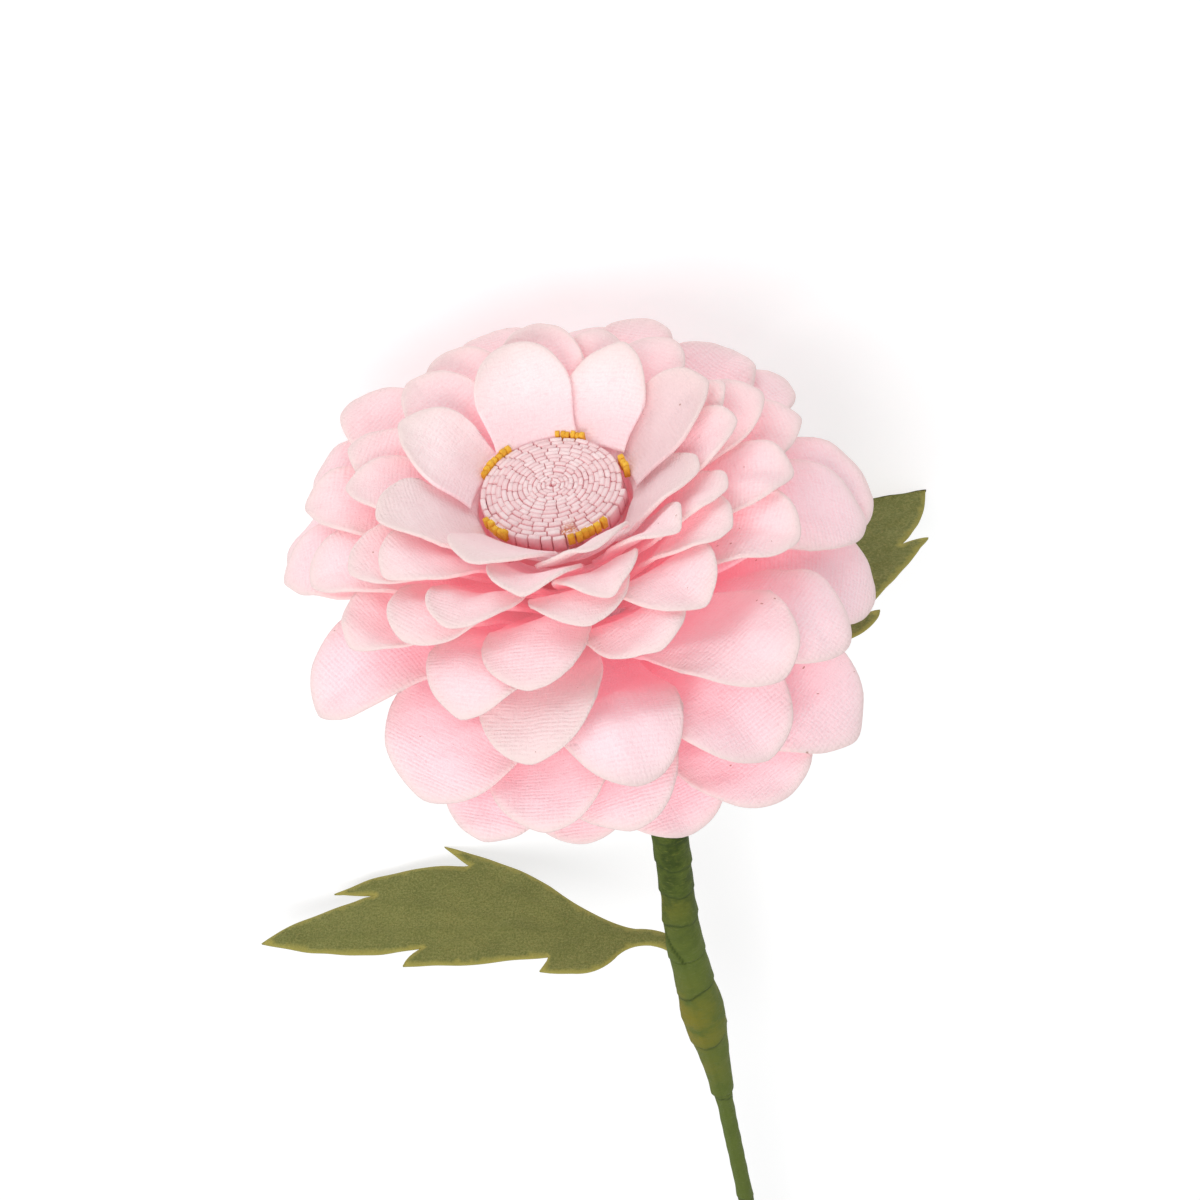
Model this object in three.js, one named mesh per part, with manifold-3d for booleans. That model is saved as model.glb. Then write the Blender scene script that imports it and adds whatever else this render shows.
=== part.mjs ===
// A dahlia-like flower of cut paper: a rolled, fringed centre, rings of cupped petals, a wire stem wrapped in
// green paper, and two cut leaves. Millimetres and degrees. The flower is drawn upright about +Z, with the top
// of its centre at z = 0 and azimuth 0 along -Y, and is laid down on its back petals and its cut end at last.
import * as THREE from 'three';
import Module from 'manifold-3d';
import { mergeVertices } from 'three/addons/utils/BufferGeometryUtils.js';

const wasm = await Module();
wasm.setup();

// Paper and how it is glued
const petalPaper = 0.8;
const leafPaper = 0.9;
const sheetGap = 0.65; // least height between one sheet and the next
const pressSlope = 0.3; // how fast a pressed sheet may bend away

// Rolled centre and its yellow tufts
const centreRadius = 13.1;
const centreWall = 7.5; // height of its straight side
const footRadius = 4.6;
const footHeight = -26;
const tuftAzimuths = [25, 103, 156, -139, -63];
const tuftArc = 17;
const tuftDepth = 1.1;
const tuftTop = 0.5;
const tuftBottom = -4;

// Where petals are glued: from the first ring, under the centre, down to the last, at the stem
const firstRoot = new THREE.Vector2(14.2, -8.5);
const lastRoot = new THREE.Vector2(7.4, -27);

// Collars of the inner rings
const collarPaper = 1.5;
const collarSteps = 3; // stretches of collar from one petal to the next

// Stem
const wireRadius = 1.2;
const wireTop = -14.6;
const stemEnd = -300;
const boreRadius = 1.65;
const wrapStep = 12; // longest stretch between two rounds of a sleeve's points
const stemLine = [[-10, 0], [-28, 0.3], [-60, 4.6], [-85, 8], [-103, 8.3], [-124, 7.2], [-136, 6.7],
  [-157, 7.4], [-180, 8.3], [-208, 8.4], [-240, 8.6], [-300, 9]]; // height, sideways bend
const wraps = [
  { name: 'wrap_upper', profile: [[-28.5, 3.2], [-34, 3.8], [-70, 3.8], [-103, 3.8], [-122, 3.6], [-132, 3.9],
    [-140, 4.2]] },
  { name: 'wrap_middle', profile: [[-140.4, 4], [-152, 4.2], [-161, 4.9], [-170, 4.2], [-181, 3.2],
    [-192, 2.6]] },
  { name: 'wrap_lower', profile: [[-192.4, 2.3], [-198, 1.95], [-240, 1.9], [-299.4, 1.9]] },
];

// Rest: how the flower is turned when it lies on a table
const restRoll = -1;
const restPitch = 8.1;

// Rings of petals from the centre outwards. Each row is azimuth, reach of the tip from the axis, height of the
// tip, and the width where it differs from its ring's. Earlier petals lie over later ones.
const cutRings = [
  { name: 'petal_ring_first', width: 19, stage: 0, petals: [[-175, 30.5, 10], [143, 30, 10], [-120, 28.5, 10.5],
    [-76, 32.5, 9], [107, 33, 9], [58, 29.5, 10], [8, 27, 11], [-35, 27.5, 11]] },
  { name: 'petal_ring_second', width: 17, stage: 0.18, petals: [[-14, 34.6, 8.2], [38, 32.5, 9, 14],
    [88, 35.2, 8], [134, 38.5, 6, 16], [175, 37.5, 6.5], [-142, 35.6, 7.8], [-98, 36.6, 7], [-59, 37.2, 6.8]] },
  { name: 'petal_ring_third', width: 17, stage: 0.34, petals: [[10, 36.5, 7.2, 16], [60, 34.8, 8],
    [106, 36, 7.5, 15], [156, 37.5, 6.8, 14], [-158, 40, 4.5], [-114, 38.5, 6], [-68, 41, 4.5],
    [-34, 40.8, 4.8]] },
  { name: 'petal_ring_fourth', width: 18.5, stage: 0.5, petals: [[50, 38.2, 6.4, 17], [2, 40, 5.2],
    [103, 42, 3.8, 17], [148, 46.3, 0.7], [-173, 46.8, 0.7], [-134, 48, 0.5], [-102, 46, 0.3],
    [-44, 44.5, 1.8]] },
];
const gluedTiers = [
  { name: 'petal_fifth', width: 19, stage: 0.62, petals: [[30, 43.5, 2.6], [-14, 47.5, -1.8], [77, 44, 2.2],
    [61, 47.2, -1], [16, 45.8, 0.6], [-80, 47, -0.8], [98, 47.5, -1.4], [-58, 48, -2.2]] },
  { name: 'petal_sixth', width: 21.5, stage: 0.68, petals: [[-28, 50.5, -5.5], [128, 51, -5.5],
    [118, 53.5, -6.5], [-14, 54.5, -13], [37, 55, -14.4, 24], [-92, 52.3, -8.5], [160, 51, -6], [-158, 51, -6],
    [-122, 51, -7]] },
  { name: 'petal_seventh', width: 23.5, stage: 0.84, petals: [[-64, 56, -18], [90, 57, -22], [98, 59, -20.5],
    [4, 56.5, -19.5], [54, 57, -21.3], [-37, 57.4, -22.5, 26], [136, 56, -20], [172, 56, -20],
    [-148, 56, -20], [-112, 56, -20]] },
  { name: 'petal_outer', width: 23, stage: 1, petals: [[79, 58, -30.5, 25], [-14, 57.5, -27.5],
    [30, 57.5, -27.2, 24], [1, 57.5, -30], [-26, 57.5, -28.5, 20], [-8, 57.5, -31.5], [48, 60, -38.5, 27],
    [33, 57, -38.9, 20], [13, 50.5, -45.5, 22], [112, 55, -34], [150, 55, -34], [-168, 55, -34],
    [-128, 55, -34]] },
];

const paint = {
  petal: new THREE.MeshStandardMaterial({ color: 0xf8d0d6, roughness: 0.9, metalness: 0 }),
  fringe: new THREE.MeshStandardMaterial({ color: 0xf0d4da, roughness: 0.9, metalness: 0 }),
  tuft: new THREE.MeshStandardMaterial({ color: 0xf0b840, roughness: 0.85, metalness: 0 }),
  leaf: new THREE.MeshStandardMaterial({ color: 0x7a7d41, roughness: 0.85, metalness: 0 }),
  wrap: new THREE.MeshStandardMaterial({ color: 0x5a6b32, roughness: 0.8, metalness: 0 }),
  wire: new THREE.MeshStandardMaterial({ color: 0x8c8c88, roughness: 0.4, metalness: 0.9 }),
};

const radians = THREE.MathUtils.degToRad;
const mix = THREE.MathUtils.lerp;
const ease = THREE.MathUtils.smoothstep;

// --- Petals -----------------------------------------------------------------------------------------------

const rowsAlong = [0, 0.24, 0.48, 0.7, 0.88, 1]; // places of the cross-sections along a petal
const columnsAcross = [-1, -0.5, 0, 0.5, 1];
const widestAt = 0.62;
const rootShare = 0.25; // width at the root, as a share of the full width
const tipWidth = 0.16;

// Half the width at a place along a petal: narrow at the root, rounded at the tip
function halfWidth(along, width) {
  const body = mix(rootShare, 1, ease(along, 0, widestAt));
  const past = Math.max(0, (along - widestAt) / (1 - widestAt));
  const round = Math.sqrt(Math.max(tipWidth ** 2, 1 - past ** 2.2));
  return 0.5 * width * body * round;
}

// The petal's spine, in the plane through the axis: out from its root and over to its tip
function spine(root, tip) {
  const droop = (10 - tip.y) / 56;
  const rise = radians(50 - 42 * droop);
  const fall = radians(30 - 95 * droop);
  const reach = 0.38 * root.distanceTo(tip);
  return new THREE.CubicBezierCurve(
    root,
    new THREE.Vector2(root.x + reach * Math.cos(rise), root.y + reach * Math.sin(rise)),
    new THREE.Vector2(tip.x - reach * Math.cos(fall), tip.y - reach * Math.sin(fall)),
    tip,
  );
}

// Rows of points on the middle of the sheet: the sides curl up and a crease runs in from the tip
function petalSheet(root, [azimuth, reach, height, width]) {
  const curve = spine(root, new THREE.Vector2(reach, height));
  const turn = radians(azimuth - 90);
  return rowsAlong.map((along) => {
    const at = curve.getPointAt(along);
    const heading = curve.getTangentAt(along);
    const half = halfWidth(along, width);
    return columnsAcross.map((across) => {
      const curl = half * (0.2 * across ** 2 + 0.16 * Math.abs(across) * ease(along, 0.3, 1));
      const out = at.x - heading.y * curl;
      const side = across * half;
      return new THREE.Vector3(
        out * Math.cos(turn) - side * Math.sin(turn),
        out * Math.sin(turn) + side * Math.cos(turn),
        at.y + heading.x * curl,
      );
    });
  });
}

// Unit normals of a sheet, on its upper side
function sheetNormals(rows) {
  return rows.map((row, i) => row.map((point, j) => {
    const before = rows[Math.max(0, i - 1)][j];
    const after = rows[Math.min(rows.length - 1, i + 1)][j];
    const left = row[Math.max(0, j - 1)];
    const right = row[Math.min(row.length - 1, j + 1)];
    return after.clone().sub(before).cross(right.clone().sub(left)).normalize();
  }));
}

// A closed sheet of even thickness about rows of points
function sheetSolid(rows, thickness) {
  const normals = sheetNormals(rows);
  const columns = rows[0].length;
  const face = (offset) => rows.flatMap((row, i) => row.map((point, j) => (
    point.clone().addScaledVector(normals[i][j], offset))));
  const points = [...face(thickness / 2), ...face(-thickness / 2)];
  const under = rows.length * columns;
  const index = [];
  const quad = (a, b, c, d) => index.push(a, b, c, a, c, d);
  for (let i = 0; i < rows.length - 1; i += 1) {
    for (let j = 0; j < columns - 1; j += 1) {
      const a = i * columns + j;
      quad(a, a + columns, a + columns + 1, a + 1);
      quad(under + a, under + a + 1, under + a + columns + 1, under + a + columns);
    }
    const left = i * columns;
    const right = left + columns - 1;
    quad(left, left + under, left + columns + under, left + columns);
    quad(right, right + columns, right + columns + under, right + under);
  }
  for (let j = 0; j < columns - 1; j += 1) {
    const end = (rows.length - 1) * columns + j;
    quad(j, j + 1, j + 1 + under, j + under);
    quad(end, end + under, end + 1 + under, end + 1);
  }
  const geometry = new THREE.BufferGeometry();
  geometry.setAttribute('position', new THREE.Float32BufferAttribute(points.flatMap((p) => p.toArray()), 3));
  geometry.setIndex(index);
  return geometry;
}

// The pile of petals glued so far: how low their undersides come, on a square grid over the flower
const pileSide = 320;
const pileStep = 0.45;
const pile = new Float32Array(pileSide * pileSide).fill(Infinity);

function pileCell(point) {
  const column = Math.round(pileSide / 2 + point.x / pileStep);
  const line = Math.round(pileSide / 2 + point.y / pileStep);
  return line * pileSide + column;
}

// Calls visit with points spread evenly over one side of a sheet
function sweep(rows, offset, steps, visit) {
  const normals = sheetNormals(rows);
  const corner = (i, j) => rows[i][j].clone().addScaledVector(normals[i][j], offset);
  for (let i = 0; i < rows.length - 1; i += 1) {
    for (let j = 0; j < rows[0].length - 1; j += 1) {
      const [a, b, c, d] = [corner(i, j), corner(i + 1, j), corner(i, j + 1), corner(i + 1, j + 1)];
      for (let m = 0; m <= steps; m += 1) {
        for (let n = 0; n <= steps; n += 1) {
          const near = a.clone().lerp(b, m / steps);
          visit(near.lerp(c.clone().lerp(d, m / steps), n / steps));
        }
      }
    }
  }
}

// Presses a sheet down until it is clear of what lies above it, bending it gently
function pressUnder(rows, above, thickness) {
  for (let pass = 0; pass < 3; pass += 1) {
    const clashes = [];
    sweep(rows, thickness / 2, 5, (point) => {
      const depth = point.z - (above[pileCell(point)] - sheetGap);
      if (depth > 0.02) clashes.push({ point, depth });
    });
    if (clashes.length === 0) return;
    rows.forEach((row) => row.forEach((point) => {
      let push = 0;
      clashes.forEach((clash) => {
        const away = Math.max(0, point.distanceTo(clash.point) - 2);
        push = Math.max(push, clash.depth - pressSlope * away);
      });
      point.z -= push;
    }));
  }
}

// Adds a sheet's underside to the pile, and a cell round it
function addToPile(rows) {
  sweep(rows, -petalPaper / 2, 8, (point) => {
    const cell = pileCell(point);
    for (let i = -1; i <= 1; i += 1) {
      for (let j = -1; j <= 1; j += 1) {
        const near = cell + i * pileSide + j;
        pile[near] = Math.min(pile[near], point.z);
      }
    }
  });
}

// One glued petal, pressed under those above it
function gluedPetal(ring, row) {
  const root = firstRoot.clone().lerp(lastRoot, ring.stage);
  const [azimuth, reach, height, width = ring.width] = row;
  const rows = petalSheet(root, [azimuth, reach, height, width]);
  pressUnder(rows, pile, petalPaper);
  addToPile(rows);
  return rows;
}

function toSolid(geometry) {
  const bare = geometry.clone();
  bare.deleteAttribute('normal');
  bare.deleteAttribute('uv');
  const merged = mergeVertices(bare, 1e-4);
  return new wasm.Manifold(new wasm.Mesh({
    numProp: 3,
    vertProperties: new Float32Array(merged.attributes.position.array),
    triVerts: new Uint32Array(merged.index.array),
  }));
}

function toGeometry(solid) {
  const mesh = solid.getMesh();
  const geometry = new THREE.BufferGeometry();
  geometry.setAttribute('position', new THREE.BufferAttribute(mesh.vertProperties, 3));
  geometry.setIndex(new THREE.BufferAttribute(mesh.triVerts, 1));
  return geometry;
}

// The collar that a ring of petals cut from one sheet shares: a strip through the roots of its petals, in turn
// round the centre, left open at its seam
function collar(petals) {
  const rows = [];
  const place = (point, turn) => ({ out: Math.hypot(point.x, point.y), height: point.z, turn });
  const inTurn = petals.slice().sort((a, b) => a.azimuth - b.azimuth);
  const ends = inTurn.map(({ azimuth, rows: [first, second] }) => [
    place(second[2].clone().lerp(first[2], 0.1), radians(azimuth - 90)),
    place(first[2].clone().lerp(second[2], 0.1), radians(azimuth - 90)),
  ]);
  for (let i = 0; i < ends.length - 1; i += 1) {
    for (let j = 0; j <= collarSteps; j += 1) {
      if (i > 0 && j === 0) continue;
      rows.push([0, 1].map((edge) => {
        const [from, to] = [ends[i][edge], ends[i + 1][edge]];
        const share = j / collarSteps;
        const turn = mix(from.turn, to.turn, share);
        const out = mix(from.out, to.out, share);
        return new THREE.Vector3(out * Math.cos(turn), out * Math.sin(turn), mix(from.height, to.height, share));
      }));
    }
  }
  return rows;
}

// A ring of petals cut from one sheet, joined at its collar
function cutRing(ring) {
  const above = pile.slice();
  const petals = ring.petals.map((row) => ({ azimuth: row[0], rows: gluedPetal(ring, row) }));
  const strip = collar(petals);
  pressUnder(strip, above, collarPaper);
  let solid = toSolid(sheetSolid(strip, collarPaper));
  petals.forEach((petal) => {
    solid = solid.add(toSolid(sheetSolid(petal.rows, petalPaper)));
  });
  addToPile(strip);
  return toGeometry(solid);
}

// --- Centre -----------------------------------------------------------------------------------------------

// The rolled strip: fringed face on top, a straight side, and a taper down to the stem, bored for the wire
function rolledCentre() {
  const profile = [[0, 0.4], [7, 0.3], [centreRadius - 0.5, 0], [centreRadius, -0.5], [centreRadius, -centreWall],
    [9.6, -13.5], [footRadius, footHeight], [boreRadius, footHeight], [boreRadius, wireTop + 0.4],
    [0, wireTop + 0.4]];
  return new THREE.LatheGeometry(profile.reverse().map(([r, z]) => new THREE.Vector2(r, z)), 26)
    .rotateX(Math.PI / 2);
}

// A scrap of yellow fringe curled against the side of the centre, with teeth along its top
function tuft(azimuth) {
  const inner = centreRadius + 0.35;
  const teeth = 4;
  const rows = [];
  for (let i = 0; i <= teeth * 2; i += 1) {
    const turn = radians(azimuth - 90 + tuftArc * (i / (teeth * 2) - 0.5));
    const top = tuftTop - (i % 2 === 0 ? 0.5 : 0);
    rows.push([tuftBottom, top].map((z) => new THREE.Vector3(
      (inner + tuftDepth / 2) * Math.cos(turn), (inner + tuftDepth / 2) * Math.sin(turn), z)));
  }
  return sheetSolid(rows, tuftDepth);
}

// --- Stem and leaves --------------------------------------------------------------------------------------

const bend = new THREE.CatmullRomCurve3(stemLine.map(([z, x]) => new THREE.Vector3(x, 0, z))).getPoints(240);

// Sideways place of the stem at a height
function stemOffset(z) {
  const next = bend.findIndex((point) => point.z <= z);
  if (next === 0) return bend[0].x;
  if (next < 0) return bend[bend.length - 1].x;
  const [a, b] = [bend[next - 1], bend[next]];
  return mix(a.x, b.x, (z - a.z) / (b.z - a.z));
}

// Moves a body turned about the axis onto the stem's line
function ontoStem(geometry) {
  const place = geometry.attributes.position;
  for (let i = 0; i < place.count; i += 1) {
    place.setX(i, place.getX(i) + stemOffset(place.getZ(i)));
  }
  return geometry;
}

function wire() {
  const steps = 22;
  const profile = [new THREE.Vector2(0, stemEnd)];
  for (let i = 0; i <= steps; i += 1) {
    profile.push(new THREE.Vector2(wireRadius, mix(stemEnd, wireTop, i / steps)));
  }
  profile.push(new THREE.Vector2(0, wireTop));
  return ontoStem(new THREE.LatheGeometry(profile, 8).rotateX(Math.PI / 2));
}

// One length of green wrap: a sleeve whose radius follows its profile, bored for the wire
function wrap({ profile }) {
  const outside = [];
  for (let i = profile.length - 1; i > 0; i -= 1) {
    const [[topZ, topR], [lowZ, lowR]] = [profile[i - 1], profile[i]];
    const steps = Math.ceil((topZ - lowZ) / wrapStep);
    for (let j = 0; j < steps; j += 1) {
      outside.push(new THREE.Vector2(mix(lowR, topR, j / steps), mix(lowZ, topZ, j / steps)));
    }
  }
  outside.push(new THREE.Vector2(profile[0][1], profile[0][0]));
  const inside = outside.map(({ y }) => new THREE.Vector2(boreRadius, y)).reverse();
  return ontoStem(new THREE.LatheGeometry([...outside, ...inside, outside[0].clone()], 10).rotateX(Math.PI / 2));
}

// Leaf outline, with its stalk at the origin and its tip along +X: two barbed teeth are cut into each side
function leafShape() {
  const shape = new THREE.Shape();
  shape.moveTo(4.6, -1.1);
  shape.quadraticCurveTo(9, -1, 11.5, -2.2);
  shape.quadraticCurveTo(15, -7.6, 19.5, -8);
  shape.lineTo(27.5, -7.8);
  shape.lineTo(26.5, -4.2);
  shape.quadraticCurveTo(38, -6.2, 58.5, -6.6);
  shape.lineTo(54.5, -2.6);
  shape.quadraticCurveTo(72, -5.6, 91, 0);
  shape.quadraticCurveTo(80, 8.4, 67.3, 12.7);
  shape.lineTo(76.7, 13);
  shape.quadraticCurveTo(63, 20, 47.6, 20.5);
  shape.lineTo(54.4, 25.8);
  shape.quadraticCurveTo(41, 22.5, 33, 17.2);
  shape.quadraticCurveTo(15, 5.4, 4.6, 2.2);
  return shape;
}

function leaf(placing) {
  const geometry = new THREE.ExtrudeGeometry(leafShape(), { depth: leafPaper, bevelEnabled: false, curveSegments: 4 });
  geometry.translate(0, 0, -leafPaper / 2);
  return geometry.applyMatrix4(placing);
}

// Places a leaf: where its stalk meets the stem, where its tip points, and how far it rolls about its length
function leafPlacing(height, tip, roll) {
  const foot = new THREE.Vector3(stemOffset(height), 0, height);
  const along = tip.clone().sub(foot).normalize();
  const across = new THREE.Vector3(0, 0, 1).cross(along).normalize().applyAxisAngle(along, radians(roll));
  const basis = new THREE.Matrix4().makeBasis(along, across, along.clone().cross(across));
  return basis.setPosition(foot);
}

// --- The whole flower -------------------------------------------------------------------------------------

const flower = new THREE.Group();

function addPiece(name, geometry, material) {
  const mesh = new THREE.Mesh(geometry, material);
  mesh.name = name;
  flower.add(mesh);
}

addPiece('rolled_centre', rolledCentre(), paint.fringe);
tuftAzimuths.forEach((azimuth, i) => addPiece(`yellow_tuft_${i + 1}`, tuft(azimuth), paint.tuft));
cutRings.forEach((ring) => addPiece(ring.name, cutRing(ring), paint.petal));
gluedTiers.forEach((tier) => tier.petals.forEach((row, i) => {
  addPiece(`${tier.name}_${i + 1}`, sheetSolid(gluedPetal(tier, row), petalPaper), paint.petal);
}));
addPiece('stem_wire', wire(), paint.wire);
wraps.forEach((sleeve) => addPiece(sleeve.name, wrap(sleeve), paint.wrap));
addPiece('leaf_left', leaf(leafPlacing(-138, new THREE.Vector3(-86.5, 26, -140.5), 175)), paint.leaf);
addPiece('leaf_right', leaf(leafPlacing(-54, new THREE.Vector3(76, 50, -71), 174)), paint.leaf);

flower.rotation.set(radians(90 - restPitch), 0, radians(180 + restRoll));

const group = new THREE.Group();
group.add(flower);
group.updateMatrixWorld(true);
const bounds = new THREE.Box3().setFromObject(group, true);
group.position.set(-(bounds.min.x + bounds.max.x) / 2, -(bounds.min.y + bounds.max.y) / 2, -bounds.min.z);
group.updateMatrixWorld(true);

export default group;
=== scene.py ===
# A dahlia of cut paper: a rolled fringed centre, rings of cupped petals, a wrapped wire stem and two
# leaves. The flower is shaped upright in millimetres, about +Z with the top of its centre at z = 0 and
# azimuth 0 along -Y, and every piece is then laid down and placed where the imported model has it.
from math import atan2, cos, hypot, pi, radians, sin

import bpy
import numpy as np
from mathutils import Matrix, Vector
from mathutils.geometry import delaunay_2d_cdt


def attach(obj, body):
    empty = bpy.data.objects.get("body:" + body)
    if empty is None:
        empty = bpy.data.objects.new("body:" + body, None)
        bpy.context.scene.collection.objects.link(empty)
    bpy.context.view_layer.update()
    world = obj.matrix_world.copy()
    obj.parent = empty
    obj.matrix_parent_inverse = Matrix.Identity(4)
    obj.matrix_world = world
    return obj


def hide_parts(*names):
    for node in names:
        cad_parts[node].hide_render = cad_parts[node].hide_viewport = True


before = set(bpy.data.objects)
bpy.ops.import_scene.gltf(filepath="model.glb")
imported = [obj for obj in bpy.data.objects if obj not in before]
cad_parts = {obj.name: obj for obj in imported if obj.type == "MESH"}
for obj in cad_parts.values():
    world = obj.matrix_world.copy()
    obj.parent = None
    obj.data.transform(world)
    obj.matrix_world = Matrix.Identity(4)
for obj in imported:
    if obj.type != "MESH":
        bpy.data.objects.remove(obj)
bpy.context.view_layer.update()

millimetre = 0.001
rest = {"pitch": 8.1, "roll": -1.0, "domeHeight": 0.4, "floorGap": 0.00005}


# How the upright flower is turned and moved to where it lies
def layDown():
    lean = Matrix.Rotation(radians(90 - rest["pitch"]), 4, "X")
    turn = lean @ Matrix.Rotation(radians(180 + rest["roll"]), 4, "Z")
    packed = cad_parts["rolled_centre"].data.vertices
    upright = np.array([turn.transposed() @ vertex.co for vertex in packed])
    low, high = upright.min(0), upright.max(0)
    middle = (low + high) / 2
    origin = Vector((middle[0], middle[1], high[2] - rest["domeHeight"] * millimetre))
    return turn @ Matrix.Translation(origin) @ Matrix.Scale(millimetre, 4)


placing = layDown()


view = {"lean": 12, "angle": 44.5, "distance": 600, "across": 8.624, "up": -20.09, "fov": 20.79,
        "nearest": 0.01}


# The camera, set by how it looks at the upright flower and then laid down with it
def addCamera():
    lean, angle = radians(view["lean"]), radians(view["angle"])
    right = Vector((cos(lean), -sin(lean) * cos(angle), -sin(lean) * sin(angle)))
    up = Vector((sin(lean), cos(lean) * cos(angle), cos(lean) * sin(angle)))
    back = right.cross(up)
    place = right * view["across"] + up * view["up"] + back * view["distance"]
    camera = bpy.data.objects.new("camera", bpy.data.cameras.new("camera"))
    bpy.context.scene.collection.objects.link(camera)
    camera.data.sensor_fit = "HORIZONTAL"
    camera.data.angle = radians(view["fov"])
    camera.data.clip_start = view["nearest"]
    turn = Matrix((right, up, back)).transposed().to_4x4()
    spun = (placing.to_3x3() * (1 / millimetre)).to_4x4() @ turn
    camera.matrix_world = Matrix.Translation(placing @ place) @ spun
    bpy.context.scene.camera = camera
    return camera


camera = addCamera()

lights = {
    "sky": 0.585, "colour": (1.0, 0.99, 0.98), "aim": (0, 0, -20), "bounces": 12,
    "key": {"from": (-0.16, -0.42, 0.88), "distance": 1.1, "size": 0.6, "watts": 5.8},
    "fill": {"from": (-0.4, 0.6, 0.7), "distance": 1.2, "size": 0.9, "watts": 2.0},
}


# A soft light, its direction given as seen from the camera: right, up and towards the viewer
def addLight(name, kit):
    lamp = bpy.data.lights.new(name, "AREA")
    lamp.shape = "DISK"
    lamp.size = kit["size"]
    lamp.energy = kit["watts"]
    lamp.color = lights["colour"]
    holder = bpy.data.objects.new(name, lamp)
    bpy.context.scene.collection.objects.link(holder)
    aim = placing @ Vector(lights["aim"])
    away = camera.matrix_world.to_3x3() @ Vector(kit["from"]).normalized()
    holder.location = aim + away * kit["distance"]
    holder.rotation_euler = away.to_track_quat("Z", "Y").to_euler()


for name in ("key", "fill"):
    addLight(name, lights[name])
world = bpy.data.worlds.new("studio")
world.use_nodes = True
sky = world.node_tree.nodes["Background"].inputs
sky["Color"].default_value = (1, 1, 1, 1)
sky["Strength"].default_value = lights["sky"]
bpy.context.scene.world = world
bpy.context.scene.view_settings.view_transform = "Standard"
bpy.context.scene.cycles.diffuse_bounces = lights["bounces"]
print("camera and lights are set")


# One output in a material, with arithmetic
class Value:
    def __init__(self, recipe, socket):
        self.recipe = recipe
        self.socket = socket

    def maths(self, operation, *parts):
        return self.recipe.node("Math", {"operation": operation}, dict(enumerate(parts)))

    def __add__(self, other):
        return self.maths("ADD", self, other)

    __radd__ = __add__

    def __rsub__(self, other):
        return self.maths("SUBTRACT", other, self)

    def __mul__(self, other):
        return self.maths("MULTIPLY", self, other)

    __rmul__ = __mul__


# A material in the making, its nodes linked by what their sockets are given
class Recipe:
    def __init__(self, name):
        self.material = bpy.data.materials.new(name)
        self.material.use_nodes = True
        self.tree = self.material.node_tree
        self.tree.nodes.clear()

    # Adds a node of a type, with settings and what its sockets take, and gives back its output
    def node(self, kind, settings, sockets, output=0):
        made = self.tree.nodes.new("ShaderNode" + kind)
        for name, setting in settings.items():
            setattr(made, name, setting)
        for name, given in sockets.items():
            if isinstance(given, Value):
                self.tree.links.new(given.socket, made.inputs[name])
            else:
                made.inputs[name].default_value = given
        return Value(self, made.outputs[output]) if made.outputs else None

    def fact(self, name):
        return self.node("Attribute", {"attribute_name": name}, {}, "Fac")

    def place(self, name):
        return self.node("Attribute", {"attribute_name": name}, {}, "Vector")

    def stretch(self, at, scale):
        return self.node("VectorMath", {"operation": "MULTIPLY"}, {0: at, 1: scale})

    def cloud(self, at, scale, detail=2.0, rough=0.5):
        sockets = {"Vector": at, "Scale": scale, "Detail": detail, "Roughness": rough}
        return self.node("TexNoise", {}, sockets, "Fac")

    def wave(self, value):
        return self.node("Math", {"operation": "SINE"}, {0: value})

    # Eased from 0 at the first bound to 1 at the second
    def between(self, value, low, high):
        limits = {"From Min": low, "From Max": high}
        return self.node("MapRange", {"interpolation_type": "SMOOTHSTEP"}, {"Value": value, **limits})

    def blend(self, share, first, second):
        return self.node("Mix", {"data_type": "RGBA"}, {0: share, 6: first, 7: second}, 2)

    # Small relief in the surface, its height in millimetres
    def relief(self, height):
        return self.node("Bump", {}, {"Height": height, "Strength": 1.0, "Distance": millimetre}, "Normal")

    def finish(self, sockets):
        self.node("OutputMaterial", {}, {"Surface": self.node("BsdfPrincipled", {}, sockets)})
        return self.material

    # A dull surface with its look's roughness and shine
    def paper(self, look, body, height, more=None):
        sockets = {"Base Color": body, "Roughness": look["rough"], "Specular IOR Level": look["shine"]}
        if height is not None:
            sockets["Normal"] = self.relief(height)
        return self.finish({**sockets, **(more or {})})


# A linear colour from its everyday 0 to 255 values
def tint(red, green, blue):
    def linear(level):
        share = level / 255
        return share / 12.92 if share <= 0.04045 else ((share + 0.055) / 1.055) ** 2.4
    return (linear(red), linear(green), linear(blue), 1.0)


petalLook = {
    "innerTip": tint(244, 224, 224), "innerMiddle": tint(246, 224, 226), "innerRoot": tint(240, 211, 215),
    "ringTip": tint(247, 213, 217), "ringMiddle": tint(248, 207, 213), "ringRoot": tint(246, 188, 198),
    "outerTip": tint(249, 218, 225), "outerMiddle": tint(250, 209, 217), "outerRoot": tint(247, 186, 199),
    "edge": tint(228, 207, 204), "line": tint(228, 168, 180), "grey": tint(222, 190, 192),
    "speck": tint(150, 90, 60), "white": (1, 1, 1, 1),
    "ribPeriod": 0.8, "cordShare": 0.83, "glow": 0.12, "rough": 0.82, "shine": 0.2,
}


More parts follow.
